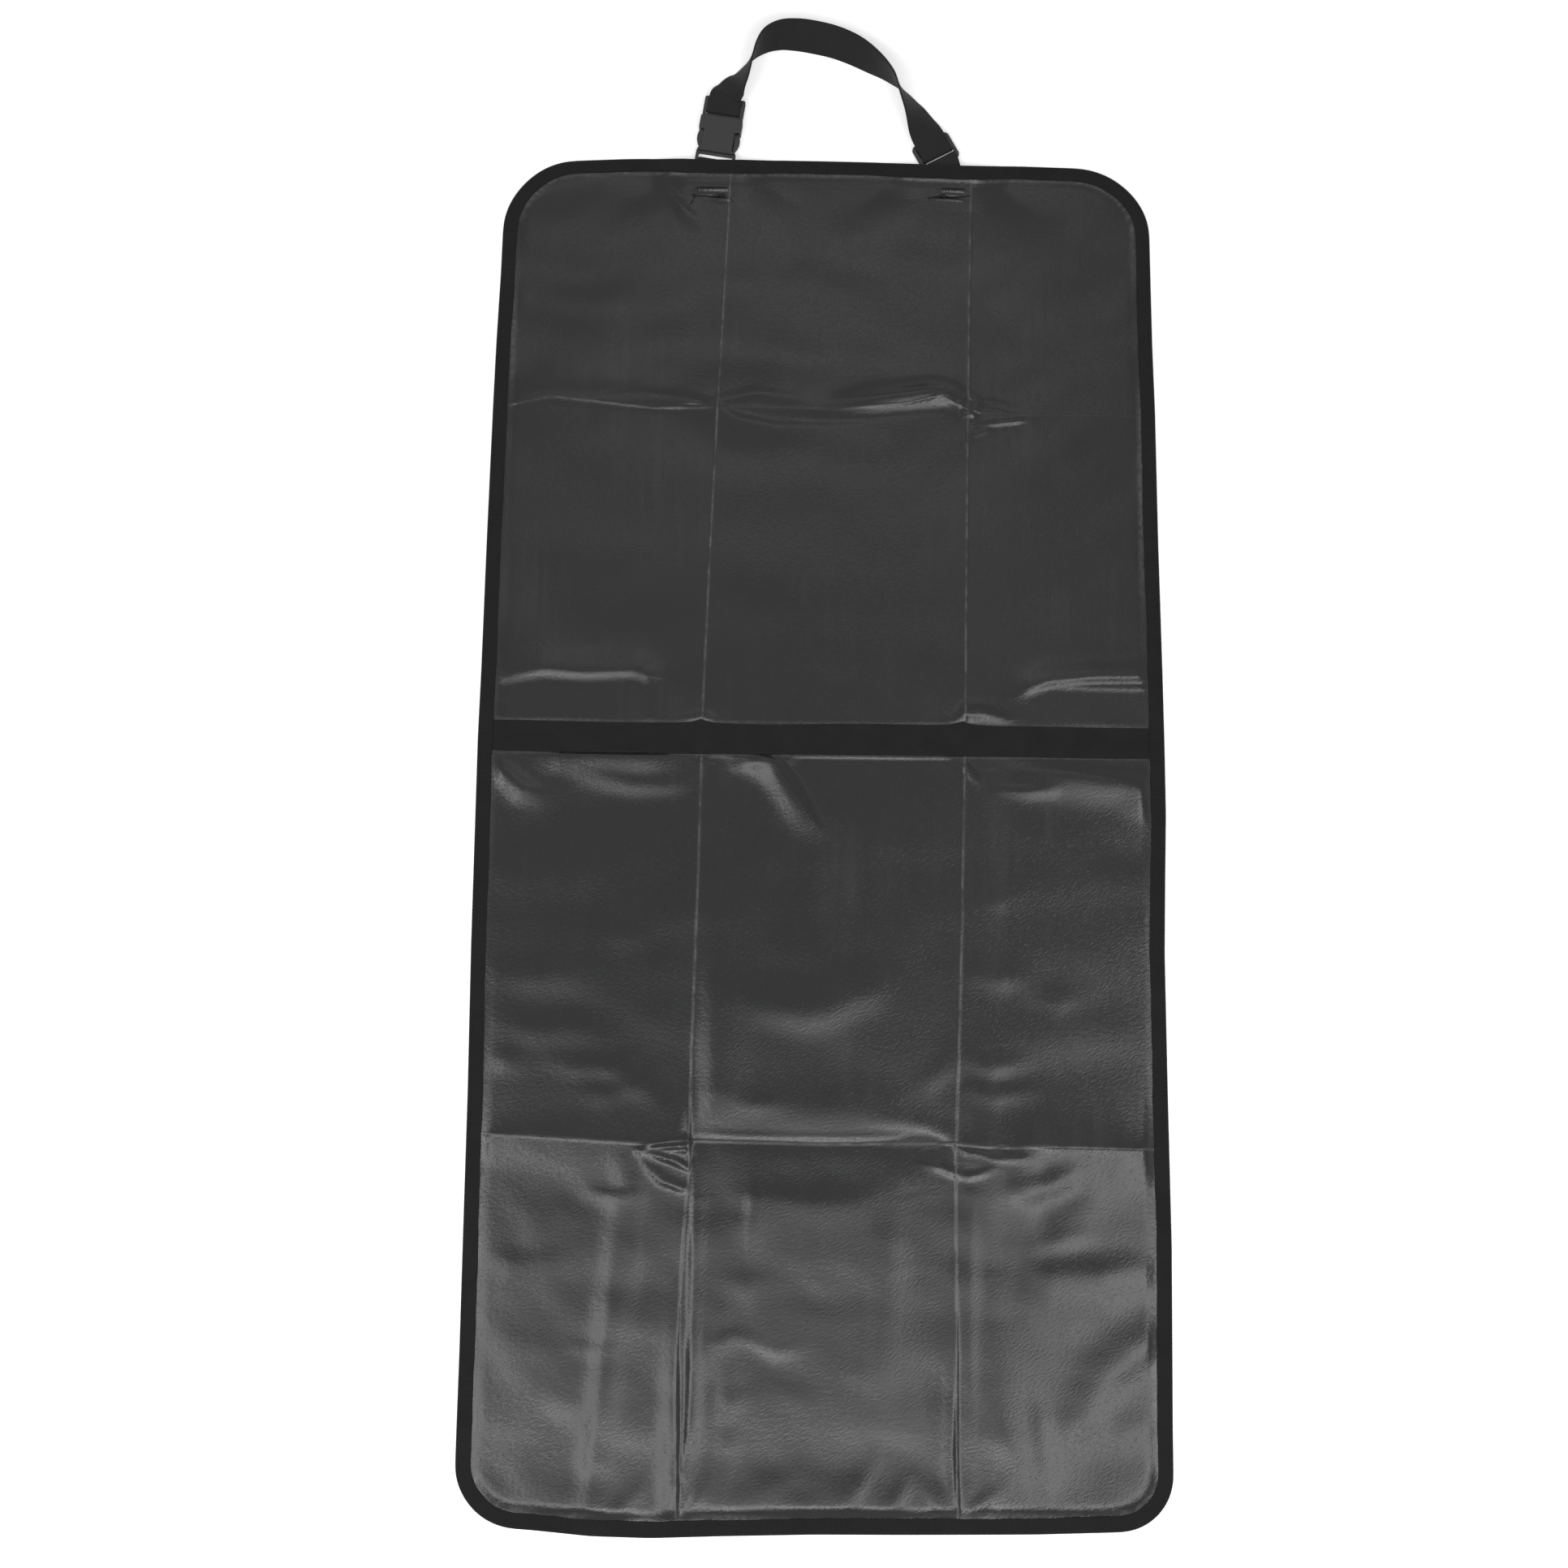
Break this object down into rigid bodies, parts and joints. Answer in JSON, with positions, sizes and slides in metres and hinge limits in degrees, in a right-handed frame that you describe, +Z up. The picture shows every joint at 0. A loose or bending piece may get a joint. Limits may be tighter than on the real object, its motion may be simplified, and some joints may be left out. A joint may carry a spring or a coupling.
{
  "type": "pet car seat cover",
  "caption": "Flat waterproof mat for a car seat in two panels, bound with tape all round, with a buckled webbing handle at its top edge.",
  "frame": {"origin": "on the floor plane, at the middle of the flat mat, on its flat underside", "axes": "+Z up out of the mat's face, +Y along the mat towards the handle, +X to the right when seen from above with the handle at the top"},
  "size_m": [0.4907, 1.0984, 0.0255],
  "materials": {
    "sheet_fabric": "coated, satin, with a fine diagonal twill",
    "tape_fabric": "woven ribbed tape, matte",
    "webbing_fabric": "woven webbing, matte",
    "black_plastic": "moulded, satin"
  },
  "bodies": {
    "root": {"backrest_panel": "sheet_fabric", "seat_panel": "sheet_fabric", "centre_band": "tape_fabric", "edge_binding": "tape_fabric", "socket_tab": "webbing_fabric", "slider_tab": "webbing_fabric", "handle_strap": "webbing_fabric", "buckle_socket": "black_plastic", "buckle_plug": "black_plastic", "strap_slider": "black_plastic"}
  },
  "joints": []
}
